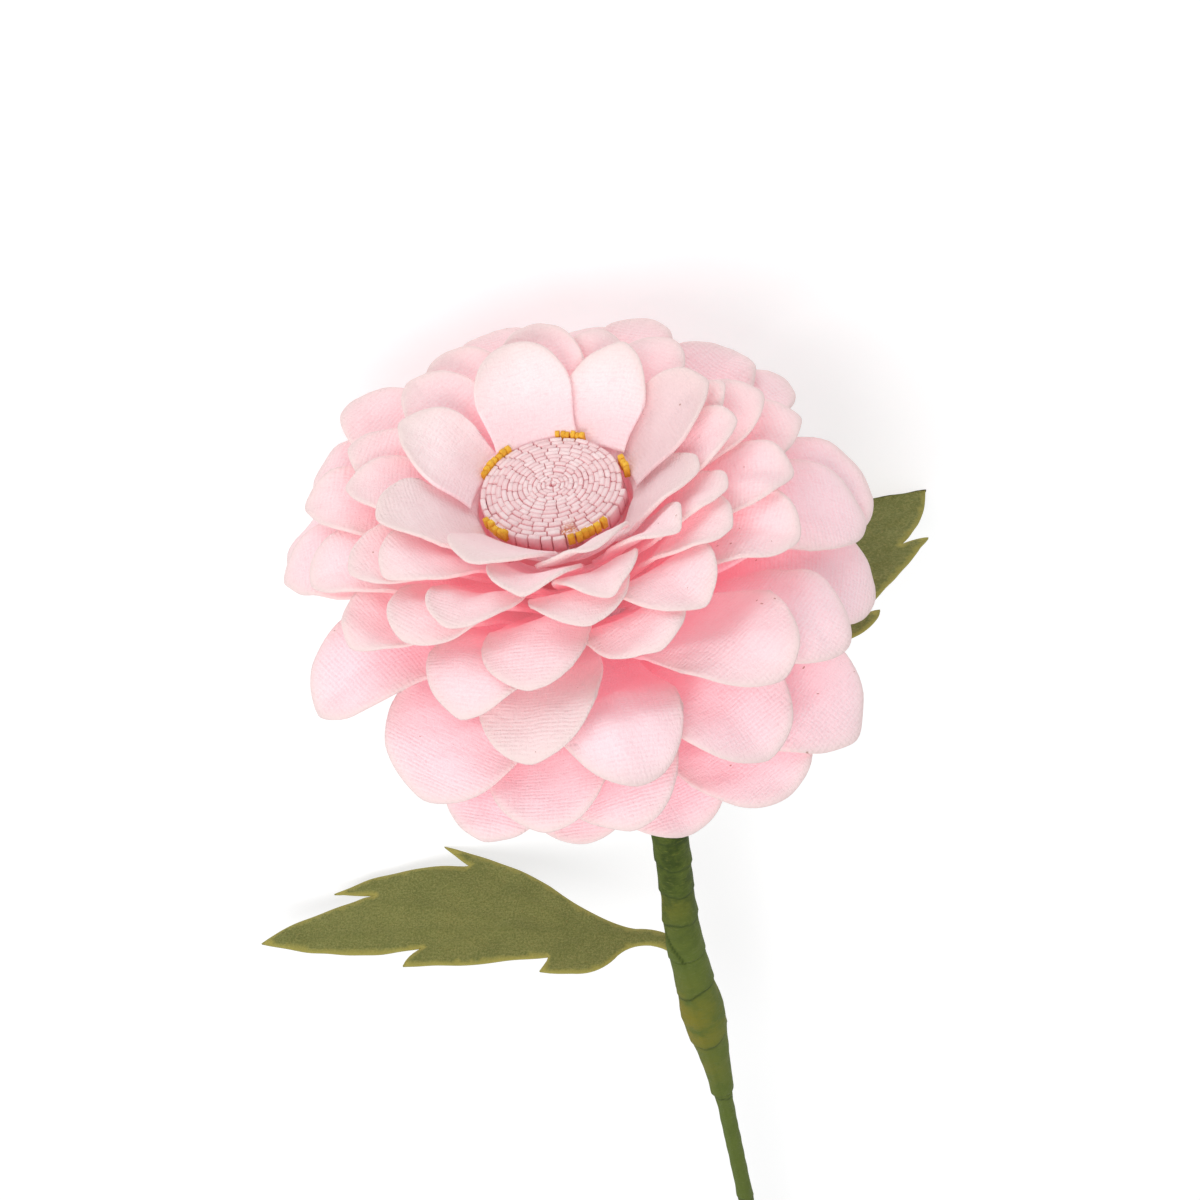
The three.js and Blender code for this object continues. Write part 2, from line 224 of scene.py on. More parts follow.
# Embossed pink paper: ribs and canvas in patches, soft mottling, fibres and the odd speck. The paler inner
# colours go over to the ring's and then the outer tiers' as the tone rises, and a negative tone is greyer,
# as painted shade. The root colours are deeper pink, partly the paper's own and partly painted shade where
# the petals crowd together, and the paper glows faintly in its own colour, a painted glow for light through
# it.
def petalPaper():
    mix = Recipe("petalPaper")
    at = mix.place("sheet")
    across = mix.node("SeparateXYZ", {}, {0: at}, "X")
    down = mix.node("SeparateXYZ", {}, {0: at}, "Y")
    along, tone, edge = mix.fact("along"), mix.fact("tone"), mix.fact("edge")
    mottle = mix.cloud(at, 0.16, 3.0, 0.6)
    patch = mix.between(mix.cloud(at, 0.07, 1.0), 0.42, 0.62)
    fibre = mix.cloud(mix.stretch(at, (2.6, 0.9, 1.0)), 1.0, 3.0, 0.65)
    fine = mix.cloud(at, 3.4, 2.0, 0.6)
    turn = 2 * pi / petalLook["ribPeriod"]
    ribs = mix.wave(down * turn + mottle * 9.0)
    cords = mix.wave(across * (turn * petalLook["cordShare"]) + mottle * 7.0)
    canvas = ribs * (0.25 + 0.5 * patch) + cords * 0.5 * patch
    outward = (mix.between(tone, 0.0, 0.2), mix.between(tone, 0.5, 0.9))

    def shade(part):
        near = mix.blend(outward[0], petalLook["inner" + part], petalLook["ring" + part])
        return mix.blend(outward[1], near, petalLook["outer" + part])

    tip, middle, root = shade("Tip"), shade("Middle"), shade("Root")
    body = mix.blend(mix.between(along + mottle * 0.3, 0.7, 1.1), middle, tip)
    # Deeper pink towards the roots: partly the paper's own colour, partly painted shade where the petals
    # crowd
    body = mix.blend(1 - mix.between(along, 0.2, 0.62), body, root)
    body = mix.blend(mix.between(mottle, 0.4, 0.8) * 0.14, body, root)
    body = mix.blend(mix.between(fine, 0.3, 0.8) * 0.16, body, petalLook["white"])
    strokes = mix.cloud(mix.stretch(at, (0.6, 2.2, 1.0)), 1.0, 2.0, 0.55)
    weave = 0.09 + mix.between(tone, 0.3, 0.8) * 0.07
    body = mix.blend(mix.between(canvas, -0.2, 0.9) * weave, body, petalLook["line"])
    body = mix.blend(mix.between(fibre, 0.5, 0.7) * 0.13, body, petalLook["line"])
    body = mix.blend(mix.between(strokes, 0.54, 0.68) * 0.12, body, petalLook["line"])
    # A negative tone greys a petal: painted shade on petals turned side-on to the light
    body = mix.blend(mix.between(0 - tone, 0.0, 0.2), body, petalLook["grey"])
    body = mix.blend(edge * 0.85, body, petalLook["edge"])
    speck = mix.between(mix.cloud(at, 0.9, 0.0), 0.875, 0.89)
    body = mix.blend(speck * 0.6, body, petalLook["speck"])
    height = canvas * 0.03 + fibre * 0.18 + strokes * 0.12 + fine * 0.06 + mottle * 0.3
    # A faint glow in the paper's own colour: painted light standing in for light passing through the thin
    # paper
    glow = {"Emission Color": body, "Emission Strength": petalLook["glow"]}
    return mix.paper(petalLook, body, height, glow)


fringeLook = {"top": tint(250, 230, 230), "warm": tint(244, 213, 214), "gap": tint(238, 158, 170),
              "stain": tint(206, 120, 60), "rough": 0.85, "shine": 0.25}


# Pale fringe, pinker down between its teeth as painted shade, with a small rusty stain near the rim
def fringePaper():
    mix = Recipe("fringePaper")
    at = mix.place("sheet")
    tone, top, stain = mix.fact("tone"), mix.fact("along"), mix.fact("edge")
    grain = mix.cloud(at, 2.4, 3.0, 0.6)
    body = mix.blend(tone, fringeLook["top"], fringeLook["warm"])
    # Painted shade: the teeth's shoulders and sides go over to deeper pink down between the teeth
    body = mix.blend((1 - top) * 0.9, body, fringeLook["gap"])
    body = mix.blend(mix.between(grain, 0.4, 0.8) * 0.15, body, fringeLook["gap"])
    body = mix.blend(stain * mix.between(grain, 0.35, 0.6), body, fringeLook["stain"])
    return mix.paper(fringeLook, body, grain * 0.08)


tuftLook = {"light": tint(250, 200, 70), "dark": tint(208, 140, 28), "rough": 0.75, "shine": 0.3}


def tuftPaper():
    mix = Recipe("tuftPaper")
    at = mix.place("sheet")
    grain = mix.cloud(at, 1.6, 3.0, 0.6)
    darker = mix.fact("tone") * 0.5 + mix.between(grain, 0.35, 0.75) * 0.4
    body = mix.blend(darker, tuftLook["light"], tuftLook["dark"])
    return mix.paper(tuftLook, body, grain * 0.08)


leafLook = {"base": tint(124, 126, 66), "pale": tint(142, 142, 84), "dark": tint(100, 106, 50),
            "edge": tint(176, 166, 84), "rough": 0.78, "shine": 0.3}


# Thick olive paper, mottled and fibrous
def leafPaper():
    mix = Recipe("leafPaper")
    at = mix.place("sheet")
    edge, vein = mix.fact("edge"), mix.fact("along")
    patches = mix.cloud(at, 0.09, 3.0, 0.6)
    strands = mix.cloud(mix.stretch(at, (0.45, 2.6, 1.0)), 1.2, 4.0, 0.7)
    fine = mix.cloud(at, 2.1, 3.0, 0.8)
    body = mix.blend(mix.between(patches, 0.3, 0.7) * 0.7 + 0.3, leafLook["dark"], leafLook["base"])
    body = mix.blend(mix.between(strands, 0.45, 0.7) * 0.5, body, leafLook["pale"])
    body = mix.blend(mix.between(fine, 0.48, 0.62) * 0.6, body, leafLook["pale"])
    body = mix.blend(mix.between(1 - fine, 0.48, 0.62) * 0.85, body, leafLook["dark"])
    body = mix.blend(vein * 0.25, body, leafLook["dark"])
    body = mix.blend(edge * 0.8, body, leafLook["edge"])
    return mix.paper(leafLook, body, strands * 0.2 + fine * 0.2 + patches * 0.2)


wrapLook = {"dark": tint(50, 66, 18), "top": tint(80, 95, 34), "light": tint(118, 126, 52),
            "low": tint(98, 113, 48), "brown": tint(140, 126, 36), "grey": tint(126, 138, 96),
            "rough": 0.7, "shine": 0.18}


# Green crepe wound round the wire, mottled above, browned where it swells, plainer below, with painted
# shade in a dark line under each turn's edge and along the tuck
def wrapPaper():
    mix = Recipe("wrapPaper")
    at = mix.place("sheet")
    low, ridge, brown = mix.fact("tone"), mix.fact("edge"), mix.fact("along")
    patches = mix.cloud(at, 0.2, 4.0, 0.65)
    strands = mix.cloud(mix.stretch(at, (0.8, 0.8, 2.2)), 0.8, 4.0, 0.75)
    high = mix.blend(mix.between(patches, 0.35, 0.62), wrapLook["dark"], wrapLook["top"])
    high = mix.blend(mix.between(strands, 0.5, 0.75) * 0.6, high, wrapLook["light"])
    body = mix.blend(low * 0.8, high, wrapLook["low"])
    body = mix.blend(brown * mix.between(patches, 0.3, 0.6), body, wrapLook["brown"])
    body = mix.blend(mix.between(strands, 0.5, 0.8) * low * 0.25, body, wrapLook["grey"])
    # Painted shade: the dark line under each turn's edge and along the tuck
    body = mix.blend(ridge * 0.85, body, wrapLook["dark"])
    return mix.paper(wrapLook, body, strands * 0.2 + patches * 0.25)


wireLook = {"dark": (0.42, 0.42, 0.41, 1), "light": (0.66, 0.66, 0.64, 1), "rough": 0.3, "lines": 900.0}


# Drawn steel, seen at the stem's cut end
def wireSteel():
    mix = Recipe("wireSteel")
    lines = mix.cloud(mix.node("TexCoord", {}, {}, "Object"), wireLook["lines"], 2.0)
    tone = mix.blend(lines, wireLook["dark"], wireLook["light"])
    return mix.finish({"Base Color": tone, "Metallic": 1.0, "Roughness": lines * 0.2 + wireLook["rough"]})


floorLook = {"colour": (0.5, 0.505, 0.51, 1), "light": (1, 1, 1, 1), "glow": 0.59,
             "rough": 0.9, "shine": 0.1, "reach": 4.0}


def floorPaper():
    glow = {"Emission Color": floorLook["light"], "Emission Strength": floorLook["glow"]}
    return Recipe("floor").paper(floorLook, floorLook["colour"], None, glow)


petalMaterial = petalPaper()
fringeMaterial = fringePaper()
tuftMaterial = tuftPaper()
leafMaterial = leafPaper()
wrapMaterial = wrapPaper()
wireMaterial = wireSteel()
print("materials are made")


# Eased from 0 at the first bound to 1 at the second
def ease(value, low, high):
    share = np.clip((value - low) / (high - low), 0, 1)
    return share * share * (3 - 2 * share)


# What rows of a height and a value, from the top down, say at some heights
def atHeight(rows, heights):
    places, values = zip(*reversed(rows))
    return np.interp(heights, places, values)


# Soft random unevenness over a plane, from a few crossed waves
def unevenness(seed, x, y, size):
    random = np.random.default_rng(seed)
    total = np.zeros(np.broadcast(x, y).shape)
    for step in range(6):
        turn = random.uniform(0, 2 * pi)
        length = size * random.uniform(0.6, 1.6)
        total += np.sin(2 * pi * (x * cos(turn) + y * sin(turn)) / length + random.uniform(0, 2 * pi))
    return total / 3


# Makes a node's looks of parts in the upright flower's millimetres. A part's facts, by point or as one
# value, are its place on the flat sheet and what its material calls along, tone and edge.
def addPiece(node, parts, material):
    points, faces, facts = [], [], {"sheet": [], "along": [], "tone": [], "edge": []}
    count = 0
    for part in parts:
        points.append(part["points"])
        faces.extend([tuple(corner + count for corner in face) for face in part["faces"]])
        size = len(part["points"])
        count += size
        for key, lists in facts.items():
            values = np.asarray(part[key], float)
            lists.append(values.reshape(size, -1) if values.ndim else np.full((size, 1), values))
    points = np.concatenate(points)
    world = points @ np.array(placing.to_3x3()).T + np.array(placing.translation)
    world[:, 2] = np.maximum(world[:, 2], rest["floorGap"])
    mesh = bpy.data.meshes.new(node + "_paper")
    mesh.from_pydata(world.tolist(), [], faces)
    mesh.shade_smooth()
    for key, lists in facts.items():
        values = np.concatenate(lists)
        kind, field = ("FLOAT_VECTOR", "vector") if key == "sheet" else ("FLOAT", "value")
        mesh.attributes.new(key, kind, "POINT").data.foreach_set(field, values.astype(np.float32).ravel())
    mesh.materials.append(material)
    piece = bpy.data.objects.new(node + "_paper", mesh)
    bpy.context.scene.collection.objects.link(piece)
    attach(piece, "root")
    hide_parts(node)


# The faces between levels of points that run round, and from last to first where it is closed
def bandFaces(levels, around, closed=False):
    faces = []
    for level in range(levels if closed else levels - 1):
        here, after = level * around, (level + 1) % levels * around
        for step in range(around):
            other = (step + 1) % around
            faces.append((here + step, here + other, after + other, after + step))
    return faces


# Unit normals of a sheet of rows and columns of points, on its upper side
def sheetNormals(sheet):
    normals = np.cross(np.gradient(sheet, axis=0), np.gradient(sheet, axis=1))
    return normals / np.linalg.norm(normals, axis=2, keepdims=True)


# The numbers of a grid's edge points, in turn round it
def rimOf(rows, columns):
    grid = np.arange(rows * columns).reshape(rows, columns)
    return np.concatenate([grid[:, 0], grid[-1, 1:], grid[-2::-1, -1], grid[0, -2:0:-1]])


sheetEdge = {"thinning": 0.62, "bulge": 0.3}


# A closed sheet of paper about rows and columns of points, with a softly rounded edge
def paperSheet(sheet, thickness, facts):
    rows, columns = sheet.shape[:2]
    normals = sheetNormals(sheet)
    outward = np.zeros_like(sheet)
    outward[:, 0] += sheet[:, 0] - sheet[:, 1]
    outward[:, -1] += sheet[:, -1] - sheet[:, -2]
    outward[-1] += sheet[-1] - sheet[-2]
    outward[0] += sheet[0] - sheet[1]
    flat, normals, outward = (array.reshape(-1, 3) for array in (sheet, normals, outward))
    size = rows * columns
    rim = rimOf(rows, columns)
    offset = np.full(size, thickness / 2)
    offset[rim] *= sheetEdge["thinning"]
    away = outward[rim] / np.linalg.norm(outward[rim], axis=1, keepdims=True)
    top = flat + normals * offset[:, None]
    low = flat - normals * offset[:, None]
    side = flat[rim] + away * (thickness * sheetEdge["bulge"])
    faces = []
    for row in range(rows - 1):
        for column in range(columns - 1):
            corner = row * columns + column
            loop = (corner, corner + columns, corner + columns + 1, corner + 1)
            faces.append(loop)
            faces.append(tuple(size + other for other in reversed(loop)))
    for here in range(len(rim)):
        after = (here + 1) % len(rim)
        middle = (2 * size + here, 2 * size + after)
        faces.append((rim[after], rim[here], middle[0], middle[1]))
        faces.append((middle[1], middle[0], size + rim[here], size + rim[after]))
    part = {"points": np.concatenate([top, low, side]), "faces": faces}
    for key, values in facts.items():
        values = np.asarray(values).reshape(size, -1)
        part[key] = np.concatenate([values, values, values[rim]])
    return part


# The spine's climb and droop, the root shares, cups and ripples are for the innermost ring and the outermost
# tier. A crease's or fold's shape is how soft its line is and how far the paper is set back. A root is a
# stage from 0 inside to 1 outside, a distance from the axis and a height.
petals = {
    "paper": 0.8, "gap": 0.45, "pressSlope": 0.42, "pressReach": 2, "touching": 0.02,
    "rows": 42, "columns": 31, "crowding": 0.9,
    "climb": (9, 26), "droop": (11, 35), "handle": 0.38, "spinePoints": 120,
    "rootShares": (0.8, 0.4), "widestAt": 0.62, "endRadius": 0.58, "endRoundness": 0.97,
    "point": 0.5, "pointWidth": 0.22, "skew": 0.04,
    "cups": (0.2, -0.1), "crease": 0.17, "creaseShape": (0.005, 0.07),
    "ripples": (0.16, 0.45), "rippleSize": 11, "dimples": (0.07, 3.5), "flutter": 0.2,
    "foldSlopes": (0.04, 0.17), "foldShape": (0.1, 5), "ownFoldShape": (0.04, 4), "foldBegins": (0.15, 0.5),
    "edgeBand": 2.1,
    "roots": [(0, 14.6, -1.0), (0.18, 14.2, -4.8), (0.34, 13.8, -7.6), (0.5, 12.6, -11),
              (0.62, 11.4, -14.5), (0.68, 10.6, -16.5), (0.84, 9, -21.5), (1, 7.4, -26.5)],
}
collarCut = {"paper": 1.0, "stations": 90, "columns": 5, "topRow": 5, "drops": (1, 1.2)}

# Rings and tiers from the centre outwards. Earlier petals lie over later ones. A row is a petal's azimuth,
# the reach of its tip from the axis and the height of its tip. Where they differ from the ring's own, its
# width, cupping, tone and folds follow. A negative tone greys a petal as painted shade, on petals turned
# side-on to the light. A fold is a place across and a share of the length along the petal, a bearing
# and a slope.
cutRings = [
    {"name": "petal_ring_first", "width": 19, "stage": 0, "rows": [
        (-34, 29.8, 10.6, 19, 0.1, -0.09), (9, 28.9, 10.6, 19, 0.06, -0.09), (-175, 30.5, 10),
        (143, 30, 10), (-120, 28.5, 10.5), (-76, 32.5, 9, 19, 0.2, -0.08), (107, 33, 9, 19, 0.2, -0.13),
        (66, 28.6, 8.2, 20, 0.2, -0.12)]},
    {"name": "petal_ring_second", "width": 17, "stage": 0.18, "rows": [
        (-14, 34.6, 8.2), (38, 32.5, 9, 14), (88, 35.2, 8), (134, 38.5, 6, 16), (175, 37.5, 6.5),
        (-142, 35.6, 7.8), (-98, 36.6, 7), (-59, 37.2, 6.8)]},
    {"name": "petal_ring_third", "width": 17, "stage": 0.34, "rows": [
        (10, 36.5, 7.2, 16), (60, 34.8, 8), (106, 36, 7.5, 15), (156, 37.5, 6.8, 14), (-158, 40, 4.5),
        (-114, 38.5, 6), (-68, 41, 4.5), (-34, 40.8, 4.8)]},
    {"name": "petal_ring_fourth", "width": 18.5, "stage": 0.5, "rows": [
        (50, 38.2, 6.4, 17), (2, 40, 5.2), (103, 42, 3.8, 17), (148, 46.3, 0.7), (-173, 46.8, 0.7),
        (-134, 48, 0.5), (-102, 46, 0.3), (-44, 44.5, 1.8)]},
]
gluedTiers = [
    {"name": "petal_fifth", "width": 19, "stage": 0.62, "rows": [
        (30, 43.5, 2.6), (-14, 47.5, -1.8), (77, 44, 2.2), (61, 47.2, -1), (16, 45.8, 0.6), (-80, 47, -0.8),
        (98, 47.5, -1.4), (-58, 48, -2.2)]},
    {"name": "petal_sixth", "width": 21.5, "stage": 0.68, "rows": [
        (-28, 50.5, -5.5), (128, 51, -5.5), (118, 53.5, -6.5), (-14, 54.5, -13, 21.5, 0, -0.06),
        (37, 55, -14.4, 24), (-92, 52.3, -8.5), (160, 51, -6), (-158, 51, -6), (-122, 51, -7)]},
    {"name": "petal_seventh", "width": 23.5, "stage": 0.84, "rows": [
        (-64, 56, -18), (90, 57, -22), (98, 59, -20.5),
        (4, 56.5, -19.5, 23.5, -0.05, 0.84, [(2, 0.5, 82, 0.2), (0, 0.8, 12, 0.35)]), (54, 57, -21.3),
        (-37, 57.4, -22.5, 26), (136, 56, -20), (172, 56, -20), (-148, 56, -20), (-112, 56, -20)]},
    {"name": "petal_outer", "width": 23, "stage": 1, "rows": [
        (79, 58, -30.5, 25), (-14, 57.5, -27.5), (30, 57.5, -27.2, 24), (1, 57.5, -30),
        (-26, 57.5, -28.5, 20), (-8, 54, -29.5), (48, 60, -38.5, 27), (33, 57, -38.9, 26),
        (13, 49, -40, 24), (112, 55, -34), (150, 55, -34), (-168, 55, -34), (-128, 55, -34)]},
]


# Where a ring or tier's petals start: distance from the axis, and height
def rootOf(stage):
    stages, outs, heights = zip(*petals["roots"])
    return float(np.interp(stage, stages, outs)), float(np.interp(stage, stages, heights))


# What a pair of values says at a stage between the innermost ring and the outermost tier
def atStage(pair, stage):
    return np.interp(stage, (0, 1), pair)


# Points along a petal's spine, and how far along it each one is
def spine(petal):
    root, tip, stage = rootOf(petal["stage"]), (petal["reach"], petal["height"]), petal["stage"]
    chord = atan2(tip[1] - root[1], tip[0] - root[0])
    rise = chord + radians(atStage(petals["climb"], stage))
    fall = chord - radians(atStage(petals["droop"], stage))
    handle = petals["handle"] * hypot(tip[0] - root[0], tip[1] - root[1])
    corners = np.array([root, (root[0] + handle * cos(rise), root[1] + handle * sin(rise)),
                        (tip[0] - handle * cos(fall), tip[1] - handle * sin(fall)), tip])
    share = np.linspace(0, 1, petals["spinePoints"])[:, None]
    line = ((1 - share) ** 3 * corners[0] + 3 * share * (1 - share) ** 2 * corners[1]
            + 3 * share ** 2 * (1 - share) * corners[2] + share ** 3 * corners[3])
    steps = np.linalg.norm(np.diff(line, axis=0), axis=1)
    return line, np.concatenate([[0], np.cumsum(steps)])


# A petal's values from its row, and its ring's own where the row leaves them out
def petalOf(ring, row):
    stage = ring["stage"]
    plain = (ring["width"], atStage(petals["cups"], stage), stage, [])
    names = ("azimuth", "reach", "height", "width", "cup", "tone", "folds")
    return {"stage": stage, **dict(zip(names, row + plain[len(row) - 3:]))}


# A petal's flat outline: where each row and column lies along it, and half its width there
def cutPetal(petal, random):
    share = np.linspace(0, 1, petals["rows"])[:, None]
    crowd = pi / 2 * petals["crowding"]
    side = np.sin(np.linspace(-1, 1, petals["columns"])[None, :] * crowd) / sin(crowd)
    roundness = petals["endRoundness"]
    roundOff = (1 - np.sqrt(1 - roundness * side ** 2)) / (1 - (1 - roundness) ** 0.5)
    ending = 1 - petals["endRadius"] * petal["width"] / petal["length"] * roundOff
    sharpness = petals["point"] / petal["length"] * random.uniform(0.3, 1.4)
    point = sharpness * np.exp(-(side / petals["pointWidth"]) ** 2) * share ** 6
    skew = petals["skew"] * random.uniform(-1, 1) * side * (1 - side ** 2) * share ** 3
    along = share * ending + point + skew
    rootShare = atStage(petals["rootShares"], petal["stage"])
    half = 0.5 * petal["width"] * (rootShare + (1 - rootShare) * ease(along, 0, petals["widestAt"]))
    petal.update({"share": share, "side": side, "along": along, "half": half})


# How far the paper falls away on both sides of a fold
def fold(x, y, place, bearing, slope, shape):
    softness, offset = shape
    past = (x - place[0]) * sin(bearing) + (y - place[1]) * cos(bearing)
    return slope * (np.sqrt(past ** 2 + softness) - offset)


# How far each place on a petal stands off its spine: cup, crease, ripples, edge, tip and folds
def petalCurl(petal, random, seed):
    side, along, half, stage = petal["side"], petal["along"], petal["half"], petal["stage"]
    width, length = petal["width"], petal["length"]
    x, y = side * half, along * length
    softness, drop = petals["creaseShape"]
    ridge = np.sqrt(side ** 2 + softness) - drop
    crease = petals["crease"] * random.uniform(0.2, 1.9)
    curl = half * (petal["cup"] * side ** 2 + crease * ridge * ease(along, 0.35, 1))
    ripple = atStage(petals["ripples"], stage) * unevenness(seed, x, y, petals["rippleSize"])
    curl += ripple * ease(along, 0.1, 0.5)
    depth, size = petals["dimples"]
    curl += depth * unevenness(seed + 50, x, y, size) * ease(along, 0.2, 0.5)
    flutter = np.sin(y * random.uniform(0.22, 0.38) + random.uniform(0, 6) + side * 1.5)
    curl += petals["flutter"] * flutter * np.abs(side) ** 3 * ease(along, 0.3, 0.8)
    curl += random.uniform(-0.4, 0.9) * ease(along, 0.8, 1.02)
    begun = ease(along, *petals["foldBegins"])
    for slope in np.interp(stage, (0, 0.6), (0.3, 1)) * random.uniform(*petals["foldSlopes"], 2):
        bearing = random.choice((-1, 1)) * random.uniform(0.1, 1.3)
        place = (random.uniform(-0.3, 0.3) * width, random.uniform(0.6, 0.85) * length)
        curl -= begun * fold(x, y, place, bearing, slope, petals["foldShape"])
    for sideways, downward, bearing, slope in petal["folds"]:
        place = (sideways, downward * length)
        curl -= begun * fold(x, y, place, radians(bearing), slope, petals["ownFoldShape"])
    return curl


# The middle of a petal's paper, as rows and columns of points, and its facts
def petalSheet(ring, row, seed):
    petal = petalOf(ring, row)
    line, travel = spine(petal)
    length = petal["length"] = travel[-1]
    random = np.random.default_rng(seed)
    cutPetal(petal, random)
    curl = petalCurl(petal, random, seed)
    side, along, half = petal["side"], petal["along"], petal["half"]
    x, y = side * half, along * length
    inward = np.minimum((1 - np.abs(side)) * half, (1 - petal["share"]) * length)
    out, rise = (np.interp(y, travel, course) for course in line.T)
    headingX, headingZ = (np.interp(y, travel, np.gradient(course, travel)) for course in line.T)
    beyond = np.maximum(0, y - length)
    out = out + headingX * beyond - headingZ * curl
    rise = rise + headingZ * beyond + headingX * curl
    turn = radians(petal["azimuth"] - 90)
    sheet = np.stack([out * cos(turn) - x * sin(turn), out * sin(turn) + x * cos(turn), rise], axis=2)
    facts = {
        "sheet": np.stack([x, y, np.full(x.shape, seed * 7.3)], axis=2),
        "along": along,
        "tone": np.full(along.shape, petal["tone"]),
        "edge": np.exp(-inward / petals["edgeBand"]) * ease(along, 0.3, 0.75),
    }
    return sheet, facts


# How low the sheets placed so far come, on a square grid over the flower
pile = {"side": 360, "step": 0.4, "finer": 4}
pile["floor"] = np.full((pile["side"], pile["side"]), np.inf)


# The grid squares that points lie in
def pileCells(points):
    cells = np.rint(points[..., :2] / pile["step"] + pile["side"] / 2).astype(int)
    return np.clip(cells, 1, pile["side"] - 2)


# A sheet with several times as many rows and columns
def refine(sheet, times):
    rows, columns = sheet.shape[:2]
    fineRows = np.linspace(0, rows - 1, rows * times)
    fineColumns = np.linspace(0, columns - 1, columns * times)
    first = fineRows.astype(int).clip(0, rows - 2)
    second = fineColumns.astype(int).clip(0, columns - 2)
    down = (fineRows - first)[:, None, None]
    across = (fineColumns - second)[None, :, None]
    corner = [[sheet[first + i][:, second + j] for j in (0, 1)] for i in (0, 1)]
    near = corner[0][0] * (1 - across) + corner[0][1] * across
    far = corner[1][0] * (1 - across) + corner[1][1] * across
    return near * (1 - down) + far * down


# Notes how low a sheet comes in each square it covers
def addToPile(sheet, thickness):
    points = refine(sheet - sheetNormals(sheet) * thickness / 2, pile["finer"]).reshape(-1, 3)
    cells = pileCells(points)
    for i in (-1, 0, 1):
        for j in (-1, 0, 1):
            np.minimum.at(pile["floor"], (cells[:, 0] + i, cells[:, 1] + j), points[:, 2])


# Presses a sheet down, bending it gently, until it is clear of what lies above
def pressUnder(sheet, above, thickness):
    rows, columns = sheet.shape[:2]
    for attempt in range(4):
        top = sheet + sheetNormals(sheet) * thickness / 2
        cells = pileCells(top)
        depth = top[..., 2] - (above[cells[..., 0], cells[..., 1]] - petals["gap"])
        clashing = depth > petals["touching"]
        if not clashing.any():
            return sheet
        away = np.linalg.norm(sheet.reshape(-1, 1, 3) - top[clashing][None], axis=2)
        easing = petals["pressSlope"] * np.maximum(0, away - petals["pressReach"])
        push = (depth[clashing][None] - easing).max(1).clip(0).reshape(rows, columns)
        for smoothing in range(3):
            wide = np.pad(push, 1, mode="edge")
            around = wide[:-2, 1:-1] + wide[2:, 1:-1] + wide[1:-1, :-2] + wide[1:-1, 2:]
            push = np.maximum(push, around / 4)
        sheet = sheet.copy()
        sheet[..., 2] -= push
    return sheet


# A petal pressed under those above it: its paper's middle, and the part it makes
def gluedPetal(ring, row, seed):
    sheet, facts = petalSheet(ring, row, seed)
    sheet = pressUnder(sheet, pile["floor"], petals["paper"])
    addToPile(sheet, petals["paper"])
    return sheet, paperSheet(sheet, petals["paper"], facts)


# The strip that joins a ring's petals just under their roots, open at its seam
def collar(rows, sheets):
    middle = petals["columns"] // 2
    rootDrop, upperDrop = collarCut["drops"]
    ends = []
    for azimuth, number in sorted((row[0], number) for number, row in enumerate(rows)):
        low, high = sheets[number][0, middle], sheets[number][collarCut["topRow"], middle]
        ends.append((radians(azimuth - 90), hypot(low[0], low[1]), low[2] - rootDrop,
                     hypot(high[0], high[1]), high[2] - upperDrop))
    turns, *courses = zip(*ends)
    fine = np.linspace(turns[0], turns[-1], collarCut["stations"])
    lowOut, lowRise, highOut, highRise = (np.interp(fine, turns, course)[:, None] for course in courses)
    share = np.linspace(1, 0, collarCut["columns"])[None, :]
    out = lowOut * (1 - share) + highOut * share
    rise = lowRise * (1 - share) + highRise * share
    return np.stack([out * np.cos(fine)[:, None], out * np.sin(fine)[:, None], rise], axis=2)


# One cut ring: its petals, then the collar that joins them
def cutRing(ring, seed):
    above = pile["floor"].copy()
    made = [gluedPetal(ring, row, seed + number) for number, row in enumerate(ring["rows"])]
    strip = collar(ring["rows"], [sheet for sheet, part in made])
    strip = pressUnder(strip, above, collarCut["paper"])
    addToPile(strip, collarCut["paper"])
    plain = np.zeros(strip.shape[:2])
    facts = {"sheet": strip, "along": plain, "tone": plain + ring["stage"], "edge": plain}
    parts = [part for sheet, part in made] + [paperSheet(strip, collarCut["paper"], facts)]
    addPiece(ring["name"], parts, petalMaterial)


seed = 1
for ring in cutRings:
    cutRing(ring, seed)
    seed += len(ring["rows"])
for tier in gluedTiers:
    for number, row in enumerate(tier["rows"]):
        sheet, part = gluedPetal(tier, row, seed + number)
        addPiece(f"{tier['name']}_{number + 1}", [part], petalMaterial)
    seed += len(tier["rows"])
print("petals are made")


# Pitches and tooth widths are for the inner and the outer turns. The places under the dome are a distance
# from the axis and a depth, the shoulder's a distance in from the side and a height, the bore's an outline.
centre = {
    "radius": 13.35, "shift": (0, 0.9, 0.45), "start": 0.45, "beyond": 0.15,
    "pitches": (0.8, 1.04), "toothWidths": (1.7, 2.7), "widestTurn": 1.6, "depth": 3.0,
    "dome": 0.35, "domeFall": 0.55, "stain": (1.5, -12.2, 2.6),
    "underDome": [(0.01, 0.45), (5, 0.45), (9, 0.45), (11.2, 0.5)],
    "shoulder": [(1.2, -1.2), (1.1, -3.0), (0.1, -3.3), (0, -4)],
    "wall": 7.5, "steps": 9, "taper": 0.85, "slack": 0.05, "lip": 0.3, "foot": (6.2, -31.0),
    "bore": [(4.6, -31.0), (4.6, -28.2), (1.65, -28.2), (1.65, -14.2), (0.01, -14.2)], "around": 72,
}
toothCut = {"crown": 0.76, "bevel": 0.2, "endDrop": 0.5, "shoulderShade": 0.55,
            "stations": [(-0.5, 0.72), (-0.44, 1), (0, 1), (0.44, 1), (0.5, 0.72)]}


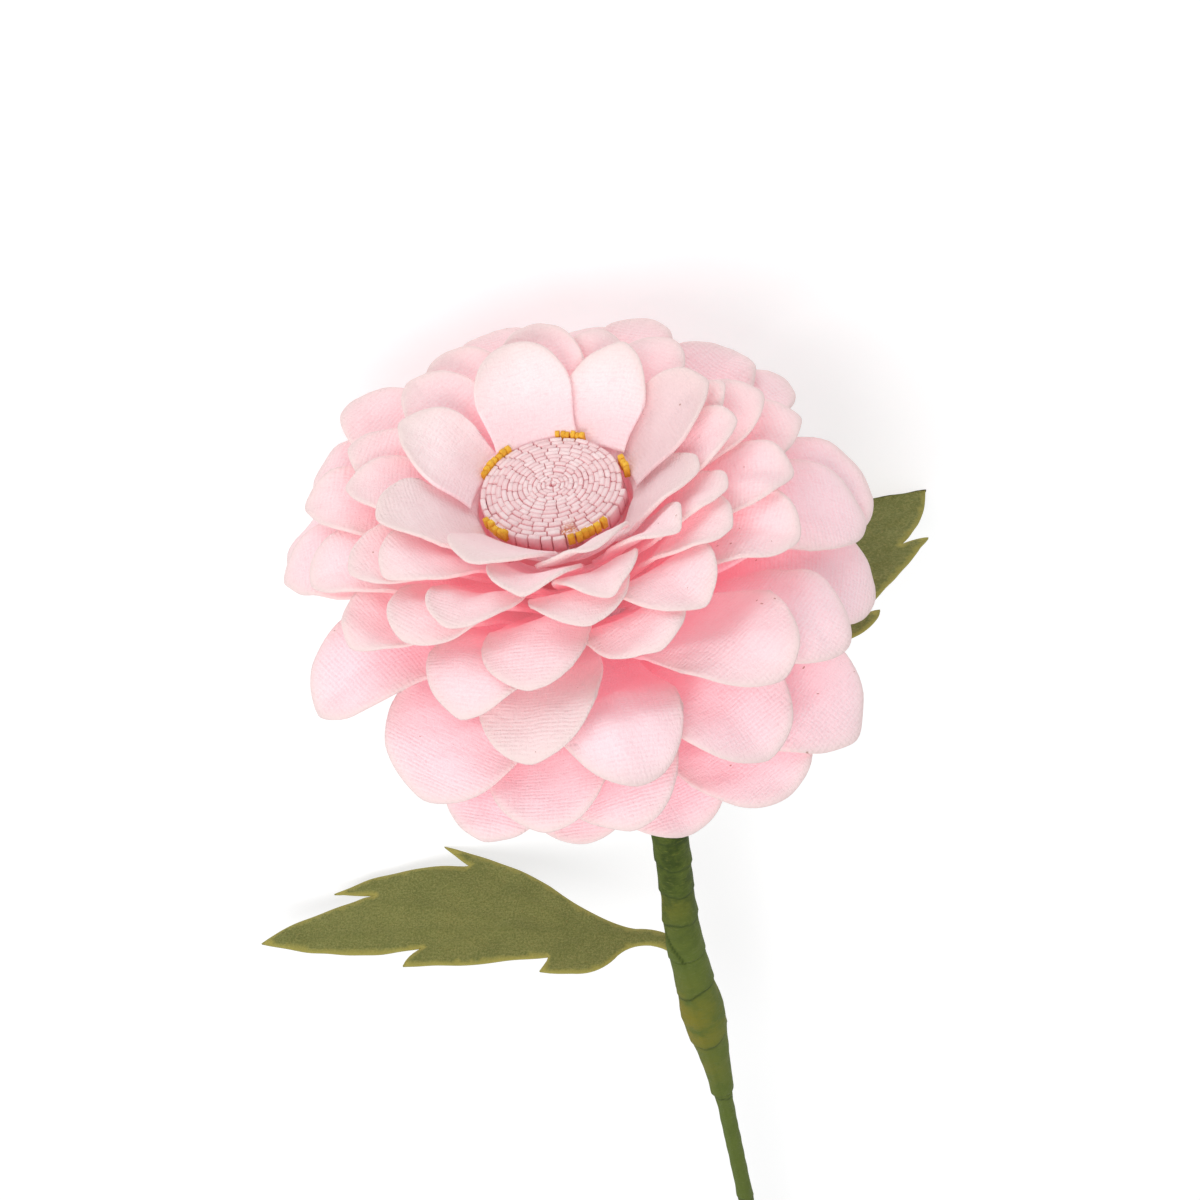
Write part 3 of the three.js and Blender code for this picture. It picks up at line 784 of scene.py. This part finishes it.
# A small upright tooth of paper, bent round the roll, with rounded edges
def tooth(out, turn, width, thick, top, bottom, lean, tone, stain):
    crown, edge = toothCut["crown"], top - toothCut["bevel"]
    profile = [(-1, bottom), (-1, edge), (-crown, top), (crown, top), (1, edge), (1, bottom)]
    points, shades = [], []
    for along, shrink in toothCut["stations"]:
        angle = turn + along * width / out
        for across, z in profile:
            level = z if z == bottom else z - (1 - shrink) * toothCut["endDrop"]
            shift = lean * (level - bottom) / (top - bottom)
            place = out + across * thick / 2 * shrink + shift
            points.append((place * cos(angle), place * sin(angle), level))
            # 1 on the top, less on the shoulders and 0 below: where this is low the fringe paints shade
            shades.append(1.0 if z == top else toothCut["shoulderShade"] * float(z != bottom))
    count, stations = len(profile), len(toothCut["stations"])
    faces = bandFaces(stations, count)
    faces.append(tuple(range(count - 1, -1, -1)))
    faces.append(tuple(range((stations - 1) * count, stations * count)))
    points = np.array(points) + centre["shift"]
    return {"points": points, "faces": faces, "sheet": points, "along": shades, "tone": tone, "edge": stain}


# Height of the centre's face at a distance from the axis
def domeAt(out):
    return centre["dome"] - centre["domeFall"] * (out / centre["radius"]) ** 3


# The fringed strip wound up from the middle, tooth by tooth
def rolledCentre():
    random = np.random.default_rng(21)
    parts = []
    angle, radius = 0.0, centre["start"]
    stainX, stainY, stainSize = centre["stain"]
    limit = centre["radius"] + centre["beyond"]
    while radius < limit:
        pitch = np.interp(radius, (2, 9), centre["pitches"])
        width = np.interp(radius, (1, 10), centre["toothWidths"]) * random.uniform(0.75, 1.2)
        step = min(width / radius, centre["widestTurn"])
        middle = angle + step / 2
        out = radius + pitch * step / 4 / pi
        outer = ease(radius, 8, 12.5)
        top = domeAt(out) + random.uniform(-0.12, 0.08) - random.uniform(0, 0.35) * outer ** 2
        bottom = top - centre["depth"]
        x, y = out * cos(middle), out * sin(middle)
        stain = max(0, 1 - hypot(x - stainX, y - stainY) / stainSize)
        gap = random.uniform(0.08, 0.2) + 0.14 * outer * random.uniform(0.2, 1)
        thick = pitch * random.uniform(0.95, 1.02)
        lean = random.uniform(-0.1, 0.08) - 0.1 * outer
        tone = random.uniform(0, 1)
        parts.append(tooth(out, middle, step * out - gap, thick, top, bottom, lean, tone, stain))
        angle += step
        radius += pitch * step / (2 * pi)
    parts.append(rollBody())
    addPiece("rolled_centre", parts, fringeMaterial)


# The uncut part of the roll: a straight side and a stepped taper, bored for the wire
def rollBody():
    radius, wall, around = centre["radius"], centre["wall"], centre["around"]
    footRadius, footHeight = centre["foot"]
    outline = [(out, domeAt(out) - under) for out, under in centre["underDome"]]
    outline += [(radius - inset, height) for inset, height in centre["shoulder"]]
    outline.append((radius, -wall))
    for step in range(centre["steps"]):
        share, after = step / centre["steps"], (step + 1) / centre["steps"]
        here = radius + (footRadius - radius) * share - centre["slack"]
        low = -wall + (footHeight + wall) * after ** centre["taper"]
        outline += [(here, low + centre["lip"]), (here - centre["lip"], low)]
    outline += [(footRadius, footHeight)] + centre["bore"]
    points = []
    for out, z in outline:
        for step in range(around):
            turn = 2 * pi * step / around
            points.append((out * cos(turn), out * sin(turn), z))
    points = np.array(points)
    faces = [face[:1] + face[:0:-1] for face in bandFaces(len(outline), around)]
    # The roll's body is coloured part way to the painted shade of the teeth's sides
    return {"points": points, "faces": faces, "sheet": points, "along": toothCut["shoulderShade"],
            "tone": 0.8, "edge": 0}


rolledCentre()

# A scrap is an azimuth, a number of teeth and the arc they take up
tufts = {"scraps": [(20, 6, 33), (98, 4, 18), (158, 6, 23), (-137, 7, 35), (-57, 5, 25)],
         "out": 13.9, "thick": 1.1, "top": 0.4, "bottom": -1.8}


# A scrap of yellow fringe against the rim of the centre
def yellowTuft(number, azimuth, teeth, arc):
    random = np.random.default_rng(60 + number)
    width = arc / teeth
    parts = []
    for count in range(teeth):
        bearing = azimuth - 90 + (count - (teeth - 1) / 2) * width
        turn = radians(bearing + random.uniform(-0.6, 0.6))
        out = tufts["out"] + random.uniform(-0.12, 0.12)
        size = tufts["out"] * radians(width) * random.uniform(0.86, 0.95)
        top = tufts["top"] - random.uniform(0, 0.45)
        lean, tone = random.uniform(-0.05, 0.2), random.uniform(0, 1)
        parts.append(tooth(out, turn, size, tufts["thick"], top, tufts["bottom"], lean, tone, 0))
    addPiece(f"yellow_tuft_{number}", parts, tuftMaterial)


for number, scrap in enumerate(tufts["scraps"]):
    yellowTuft(number + 1, *scrap)
print("centre and tufts are made")


# Rows go from the top down. The line's are height and sideways place, the wraps' height and radius, the
# brown's height and strength. The tuck's are a bearing round the stem and a height.
stem = {
    "line": [(-10, 0), (-28, 0.3), (-60, 4.6), (-85, 8), (-103, 8.3), (-124, 7.2), (-136, 6.7), (-157, 7.4),
             (-180, 8.3), (-208, 8.4), (-240, 8.6), (-300, 9)],
    "bend": (5, 9), "bore": 1.65,
    "wraps": {
        "wrap_upper": [(-28.5, 3.2), (-34, 3.8), (-70, 3.8), (-103, 3.8), (-122, 3.6), (-132, 3.9),
                       (-140, 4.2)],
        "wrap_middle": [(-140.4, 4), (-152, 4.2), (-161, 4.9), (-170, 4.2), (-181, 3.2), (-192, 2.6)],
        "wrap_lower": [(-192.4, 2.3), (-198, 1.95), (-240, 1.9), (-299.4, 1.9)],
    },
    "edges": [-41, -53, -66, -78, -89, -101.5, -110.5, -119.5, -129, -152, -170, -192.5, -236, -270],
    "brown": [(-118, 0), (-121, 0.5), (-127, 0.15), (-140, 0), (-150, 0.25), (-158, 0.95), (-168, 1),
              (-174, 0.2), (-180, 0.5), (-190, 0.1), (-200, 0)],
    "tuck": [(-165, -131.5), (-150, -133.5), (-120, -137.4), (-100, -141)],
    "tilt": 1.3, "wander": 0.35, "ridge": 0.3, "ridgeFades": 4.5, "paintedShadeLine": 0.35, "tuckShadeLine": 0.55,
    "inset": 0.12, "unevenness": 0.07, "greener": (95, 150), "sheetRadius": 4, "around": 56, "step": 0.6,
}


# Sideways place of the stem at a height
def stemOffset(z):
    reach, count = stem["bend"]
    near = np.asarray(z, float)[..., None] + np.linspace(-reach, reach, count)
    return atHeight(stem["line"], near).mean(-1)


# Where the wrap's turns end: a ridge above each edge and a line of painted shade below it, and the same
# along a slanting tuck in front
def wrapEdges(turn, heights):
    tilted = heights + stem["tilt"] * np.sin(turn + heights * 0.05)
    tilted = tilted + stem["wander"] * np.sin(3 * turn + heights * 0.11)
    ridge, paintedShadeLine = np.zeros_like(heights), np.zeros_like(heights)
    for edge in stem["edges"]:
        past = tilted - edge
        ridge += np.where(past >= 0, np.exp(-past / stem["ridgeFades"]), 0) * ease(past, -0.01, 0.35)
        paintedShadeLine += np.exp(-((past + 0.25) / stem["paintedShadeLine"]) ** 2)
    side = np.degrees(turn) - 360 * (turn > pi)
    line = np.interp(side, *zip(*stem["tuck"]))
    near = ease(side, -172, -158) * ease(-side, 100, 108) * (heights < -125)
    paintedShadeLine += 1.4 * near * np.exp(-((heights - line) / stem["tuckShadeLine"]) ** 2)
    ridge += 1.1 * near * ease(line - heights, 0, 0.8)
    return ridge, paintedShadeLine.clip(0, 1)


# Points at a radius from the stem's line, for every height and turn
def roundStem(radius, turn, heights):
    return np.stack([radius * np.cos(turn) + stemOffset(heights), radius * np.sin(turn), heights], axis=2)


# One length of green wrap, a tube with the edge of each turn standing a little proud
def stemWrap(name, profile):
    high, low = profile[0][0], profile[-1][0]
    levels = np.linspace(low, high, int((high - low) / stem["step"]) + 2)
    turn, heights = np.meshgrid(np.linspace(0, 2 * pi, stem["around"], endpoint=False), levels)
    ridge, paintedShadeLine = wrapEdges(turn, heights)
    radius = atHeight(profile, heights)
    radius = radius - stem["inset"] + stem["ridge"] * ridge * (radius / 4)
    radius = radius + stem["unevenness"] * unevenness(5, turn * 4, heights, 9)
    outside, inside = (roundStem(out, turn, heights) for out in (radius, stem["bore"]))
    tube = np.concatenate([outside, inside[::-1]])
    greener = ease(-heights, *stem["greener"])
    brown = atHeight(stem["brown"], heights) * (0.65 + 0.35 * np.sin(turn - 0.9))
    place = np.stack([np.cos(turn) * stem["sheetRadius"], np.sin(turn) * stem["sheetRadius"], heights], 2)
    part = {"points": tube.reshape(-1, 3), "faces": bandFaces(len(tube), stem["around"], closed=True),
            "sheet": np.concatenate([place, place[::-1]]),
            "along": np.concatenate([brown, brown[::-1]]),
            "tone": np.concatenate([greener, greener[::-1]]),
            "edge": np.concatenate([paintedShadeLine, np.zeros_like(paintedShadeLine)])}
    addPiece(name, [part], wrapMaterial)


for name, profile in stem["wraps"].items():
    stemWrap(name, profile)
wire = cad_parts["stem_wire"]
wire.data.materials.clear()
wire.data.materials.append(wireMaterial)
print("stem is made")


# A leaf's outline goes round in stretches, each on from where the last one ends: one place is a line's end,
# and two are a curve's corner and end. Its place on the stem is a height, where its tip lies and a roll.
leaves = {
    "paper": 0.9, "spacing": 1.1, "jitter": 0.2, "clear": 0.6,
    "left": [
        [(3.4, -1.4), (7.5, -0.6)], [(12, -0.2), (14.4, -3)], [(17.6, -8), (24, -7.6)],
        [(28, -7.7), (31, -7.2)], [(29.6, -5.2), (29.5, -3.3)], [(42, -5.2), (61.6, -5.5)],
        [(60.6, -2.6), (57.6, -0.9)], [(74, -4.6), (94.3, 0.1)], [(84.8, 8.8), (70.5, 12.9)],
        [(76, 13.3), (80.2, 13.6)], [(69, 20.2), (50.1, 20.4)], [(53.4, 22.6), (56.5, 25.3)],
        [(44, 22.8), (31, 14.4)], [(18, 4.6), (11, 3.5)], [(7, 3.6), (3, 1.6)], [(2.4, -3.4)],
    ],
    "right": [
        [(9, -1), (11.5, -2.2)], [(15, -7.6), (21, -7.8)], [(27.5, -7.4)], [(27, -4.2)],
        [(38, -7.2), (58.5, -9.4)], [(55.5, -6)], [(70, -8.6), (81.8, -8.7)],
        [(90.5, -8.6), (90.6, -1.8)], [(84, 5.4), (71.5, 9)], [(76, 9.4), (77.6, 11.2)],
        [(67.5, 14.8), (46.5, 20.7)], [(50.2, 20.5), (51.6, 22.2)], [(46, 26.2), (36, 23)],
        [(16, 5), (3, 2)], [(3, -1.6)],
    ],
    "veins": [[(4, 0.8), (40, 6.5), (90, 0.6)], [(20, 2.6), (27, -1), (30.2, -6.2)],
              [(24, 4.4), (38, 12), (54, 23.6)], [(38, 5), (52, 0.4), (60.4, -4.4)],
              [(42, 6.4), (60, 9.4), (78, 13.2)]],
    "veinWidth": 0.75, "veinDepth": 0.3, "swells": [(0.5, 26), (0.18, 7)], "border": 0.5,
    "edgeShare": 0.55, "edgeWidth": 0.9,
    "places": {"leaf_left": (-138, (-86.5, 26, -140.5), 175), "leaf_right": (-54, (76, 50, -71), 174)},
}


# Evenly spaced points on a line of two corners, or a curve of three
def curvePoints(corners, spacing):
    corners = np.array(corners, float)
    length = np.linalg.norm(np.diff(corners, axis=0), axis=1).sum()
    share = np.linspace(0, 1, max(2, int(length / spacing) + 1))[:, None]
    if len(corners) == 2:
        return corners[0] * (1 - share) + corners[1] * share
    return corners[0] * (1 - share) ** 2 + 2 * corners[1] * share * (1 - share) + corners[2] * share ** 2


# How far each point is from the nearest stretch of a line
def distanceTo(line, points):
    best = np.full(len(points), np.inf)
    for first, second in zip(line[:-1], line[1:]):
        step = second - first
        share = np.clip(((points - first) @ step) / (step @ step), 0, 1)
        best = np.minimum(best, np.linalg.norm(points - first - share[:, None] * step, axis=1))
    return best


# Which points lie within a closed line, by the crossings on one side of each
def inside(line, points):
    within = np.zeros(len(points), bool)
    for first, second in zip(line[:-1], line[1:]):
        spans = (first[1] > points[:, 1]) != (second[1] > points[:, 1])
        climb = second[1] - first[1]
        if climb != 0:
            crossing = first[0] + (points[:, 1] - first[1]) * (second[0] - first[0]) / climb
            within ^= spans & (points[:, 0] < crossing)
    return within


# A leaf's flat cut, filled with small triangles
def leafCut(outline):
    spacing, jitter = leaves["spacing"], leaves["jitter"]
    starts = [stretch[-1] for stretch in outline[-1:] + outline[:-1]]
    edge = [curvePoints([start, *stretch], spacing)[:-1] for start, stretch in zip(starts, outline)]
    edge = np.concatenate(edge)
    closed = np.concatenate([edge, edge[:1]])
    low, high = edge.min(0), edge.max(0)
    spots = np.mgrid[low[0]:high[0]:spacing, low[1]:high[1]:spacing].reshape(2, -1).T
    spots = spots + np.random.default_rng(3).uniform(-jitter, jitter, spots.shape)
    spots = spots[inside(closed, spots) & (distanceTo(closed, spots) > leaves["clear"] * spacing)]
    points = [Vector(point) for point in np.concatenate([edge, spots])]
    cut = delaunay_2d_cdt(points, [], [list(range(len(edge)))], 1, 1e-5)
    flat = np.array([tuple(point) for point in cut[0]])
    return flat, cut[2], closed


# From a flat leaf to where it sits on the upright stem
def leafPlacing(height, tip, roll):
    foot = Vector((float(stemOffset(height)), 0, height))
    along = (Vector(tip) - foot).normalized()
    across = Vector((0, 0, 1)).cross(along).normalized()
    across = Matrix.Rotation(radians(roll), 3, along) @ across
    turn = Matrix((along, across, along.cross(across))).transposed().to_4x4()
    return Matrix.Translation(foot) @ turn


# A leaf of thick paper, gently uneven, pressed in along its veins and thinner at its edge
def leaf(name, height, tip, roll, seed):
    flat, triangles, closed = leafCut(leaves[name.split("_")[1]])
    size = len(flat)
    x, y = flat[:, 0], flat[:, 1]
    inward = distanceTo(closed, flat)
    vein = np.zeros(size)
    for corners in leaves["veins"]:
        away = distanceTo(curvePoints(corners, 2), flat)
        vein = np.maximum(vein, np.exp(-(away / leaves["veinWidth"]) ** 2))
    (wide, wideSize), (small, smallSize) = leaves["swells"]
    swell = wide * unevenness(seed, x, y, wideSize) + small * unevenness(seed + 9, x, y, smallSize)
    rise = swell * ease(x, 4, 22) - leaves["veinDepth"] * vein
    thin = leaves["edgeShare"]
    half = leaves["paper"] / 2 * (thin + (1 - thin) * ease(inward, 0, leaves["edgeWidth"]))
    faces = [tuple(face) for face in triangles]
    faces += [tuple(size + corner for corner in reversed(face)) for face in triangles]
    edges = dict.fromkeys(pair for face in triangles for pair in zip(face, face[1:] + face[:1]))
    faces += [(second, first, size + first, size + second)
              for first, second in edges if (second, first) not in edges]
    points = np.concatenate([np.column_stack([flat, rise + half]), np.column_stack([flat, rise - half])])
    placed = leafPlacing(height, tip, roll)
    points = points @ np.array(placed.to_3x3()).T + np.array(placed.translation)
    place = np.column_stack([flat, np.full(size, seed * 3.1)])
    border = 1 - ease(inward, 0, leaves["border"])
    part = {"points": points, "faces": faces, "sheet": np.concatenate([place, place]),
            "along": np.tile(vein, 2), "tone": 0, "edge": np.tile(border, 2)}
    addPiece(name, [part], leafMaterial)


for number, (name, place) in enumerate(leaves["places"].items()):
    leaf(name, *place, 90 + number * 5)
print("leaves are made")


reach = floorLook["reach"]
corners = [(-reach, -reach, 0), (reach, -reach, 0), (reach, reach, 0), (-reach, reach, 0)]
floorMesh = bpy.data.meshes.new("floor")
floorMesh.from_pydata(corners, [], [(0, 1, 2, 3)])
floorMesh.materials.append(floorPaper())
floor = bpy.data.objects.new("floor", floorMesh)
bpy.context.scene.collection.objects.link(floor)
print("floor is laid")
